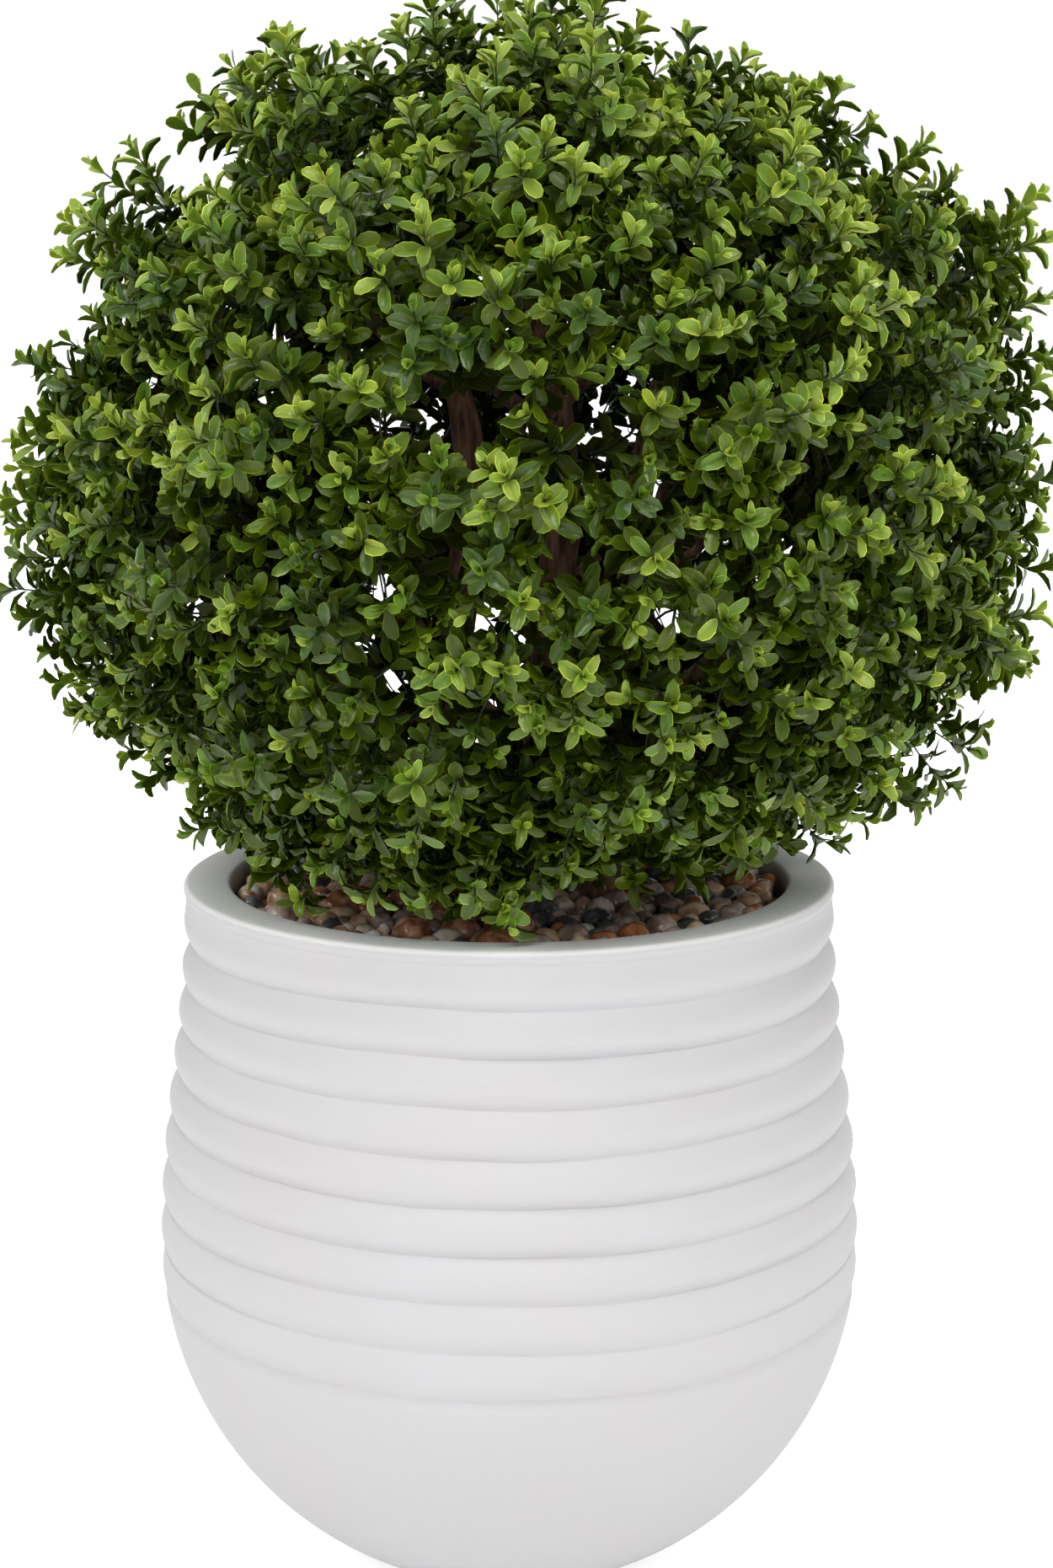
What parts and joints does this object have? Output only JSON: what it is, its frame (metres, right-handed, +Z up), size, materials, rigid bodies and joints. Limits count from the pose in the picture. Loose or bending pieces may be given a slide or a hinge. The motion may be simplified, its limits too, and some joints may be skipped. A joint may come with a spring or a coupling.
{
  "type": "artificial box topiary ball in a planter",
  "caption": "Ball of clipped box foliage on real wood trunks, standing in a filled round planter with a ribbed wall and a bed of pebbles.",
  "frame": {"origin": "middle of the planter's flat underside, which it stands on", "axes": "+Z up, -Y towards the front, where the gap in the foliage shows the trunks, +X to the right seen from the front"},
  "size_m": [0.7037, 0.6904, 1.0699],
  "materials": {
    "planter": "matte",
    "filling": "matte",
    "pebbles": "satin",
    "bark": "matte",
    "foliage": "satin"
  },
  "bodies": {
    "root": {"planter": "planter", "filling": "filling", "trunk_left": "bark", "trunk_middle": "bark", "trunk_right": "bark", "pebbles": "pebbles", "bough_top": "bark", "bough_upper_1": "bark", "bough_upper_2": "bark", "bough_upper_3": "bark", "bough_upper_4": "bark", "bough_upper_5": "bark", "bough_middle_1": "bark", "bough_middle_2": "bark", "bough_middle_3": "bark", "bough_middle_4": "bark", "bough_middle_5": "bark", "bough_middle_6": "bark", "bough_lower_1": "bark", "bough_lower_2": "bark", "bough_lower_3": "bark", "bough_lower_4": "bark", "bough_lower_5": "bark", "foliage_top": "foliage", "foliage_upper_1": "foliage", "foliage_upper_2": "foliage", "foliage_upper_3": "foliage", "foliage_upper_4": "foliage", "foliage_upper_5": "foliage", "foliage_middle_1": "foliage", "foliage_middle_2": "foliage", "foliage_middle_3": "foliage", "foliage_middle_4": "foliage", "foliage_middle_5": "foliage", "foliage_middle_6": "foliage", "foliage_lower_1": "foliage", "foliage_lower_2": "foliage", "foliage_lower_3": "foliage", "foliage_lower_4": "foliage", "foliage_lower_5": "foliage"}
  },
  "joints": []
}
